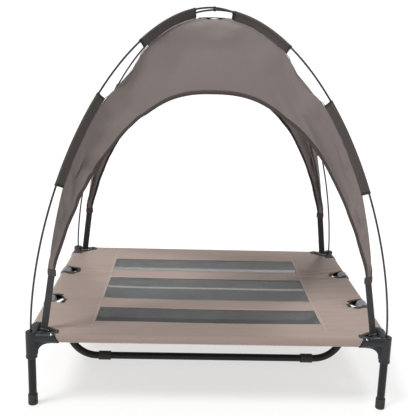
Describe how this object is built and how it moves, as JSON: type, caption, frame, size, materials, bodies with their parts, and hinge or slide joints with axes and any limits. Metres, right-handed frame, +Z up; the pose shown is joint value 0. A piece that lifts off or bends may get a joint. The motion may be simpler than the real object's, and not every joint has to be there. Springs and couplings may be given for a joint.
{
  "type": "dog bed with frame",
  "caption": "Raised dog bed: cloth deck with see-through strips on a tube frame, shaded by a lift-off canopy on crossed bowed poles.",
  "frame": {"origin": "on the floor under the middle of the bed", "axes": "+X along the long side to the right as seen from the front, -Y the front, +Z up"},
  "size_m": [0.911, 0.7564, 0.9923],
  "materials": {
    "black_moulding": "satin moulded black plastic",
    "black_coated_steel": "black powder coat, satin",
    "black_rubber": "matte black rubber",
    "bright_steel": "plated steel",
    "taupe_cloth": "plain woven taupe polyester",
    "grey_netting": "open dark grey netting",
    "black_fibreglass": "smooth black rod",
    "grey_canopy_cloth": "thin coated grey-brown cloth",
    "black_webbing": "woven black webbing"
  },
  "bodies": {
    "bed": {"bar_clamp_front_left": "black_moulding", "bar_clamp_front_right": "black_moulding", "bar_clamp_rear_left": "black_moulding", "bar_clamp_rear_right": "black_moulding", "bed_cloth": "taupe_cloth", "corner_front_left": "black_moulding", "corner_front_right": "black_moulding", "corner_rear_left": "black_moulding", "corner_rear_right": "black_moulding", "floor_pad_front_left": "black_rubber", "floor_pad_front_right": "black_rubber", "floor_pad_rear_left": "black_rubber", "floor_pad_rear_right": "black_rubber", "foot_cap_front_left": "black_rubber", "foot_cap_front_right": "black_rubber", "foot_cap_rear_left": "black_rubber", "foot_cap_rear_right": "black_rubber", "front_rail": "black_coated_steel", "front_support_bar": "black_coated_steel", "left_rail": "black_coated_steel", "leg_front_left": "black_coated_steel", "leg_front_right": "black_coated_steel", "leg_rear_left": "black_coated_steel", "leg_rear_right": "black_coated_steel", "mesh_strip_front": "grey_netting", "mesh_strip_middle": "grey_netting", "mesh_strip_rear": "grey_netting", "rear_rail": "black_coated_steel", "rear_support_bar": "black_coated_steel", "right_rail": "black_coated_steel"},
    "canopy": {"canopy_panel_front": "grey_canopy_cloth", "canopy_panel_left": "grey_canopy_cloth", "canopy_panel_rear": "grey_canopy_cloth", "canopy_panel_right": "grey_canopy_cloth", "pole_lower": "black_fibreglass", "pole_sleeve_low_front_left": "black_webbing", "pole_sleeve_low_front_right": "black_webbing", "pole_sleeve_low_rear_left": "black_webbing", "pole_sleeve_low_rear_right": "black_webbing", "pole_sleeve_top_front_left": "black_webbing", "pole_sleeve_top_front_right": "black_webbing", "pole_sleeve_top_rear_left": "black_webbing", "pole_sleeve_top_rear_right": "black_webbing", "pole_upper": "black_fibreglass", "strap_front_left": "black_webbing", "strap_front_right": "black_webbing", "strap_keeper_front_left": "bright_steel", "strap_keeper_front_right": "bright_steel", "strap_keeper_rear_left": "bright_steel", "strap_keeper_rear_right": "bright_steel", "strap_rear_left": "black_webbing", "strap_rear_right": "black_webbing"},
    "snap_button_front_left": {"snap_button_front_left": "bright_steel"},
    "snap_button_front_right": {"snap_button_front_right": "bright_steel"},
    "snap_button_rear_left": {"snap_button_rear_left": "bright_steel"},
    "snap_button_rear_right": {"snap_button_rear_right": "bright_steel"}
  },
  "joints": [
    {"name": "canopy_lift", "type": "slide", "parent": "bed", "child": "canopy", "axis": [0, 0, 1], "range_m": [0, 0.15]},
    {"name": "press_front_left", "type": "slide", "parent": "bed", "child": "snap_button_front_left", "axis": [0, 0.6691, -0.7431], "range_m": [0, 0.0026], "stiffness_N_per_m": 400, "springref_m": -0.001},
    {"name": "press_front_right", "type": "slide", "parent": "bed", "child": "snap_button_front_right", "axis": [0, 0.6691, -0.7431], "range_m": [0, 0.0026], "stiffness_N_per_m": 400, "springref_m": -0.001},
    {"name": "press_rear_left", "type": "slide", "parent": "bed", "child": "snap_button_rear_left", "axis": [0, -0.6691, -0.7431], "range_m": [0, 0.0026], "stiffness_N_per_m": 400, "springref_m": -0.001},
    {"name": "press_rear_right", "type": "slide", "parent": "bed", "child": "snap_button_rear_right", "axis": [0, -0.6691, -0.7431], "range_m": [0, 0.0026], "stiffness_N_per_m": 400, "springref_m": -0.001}
  ]
}
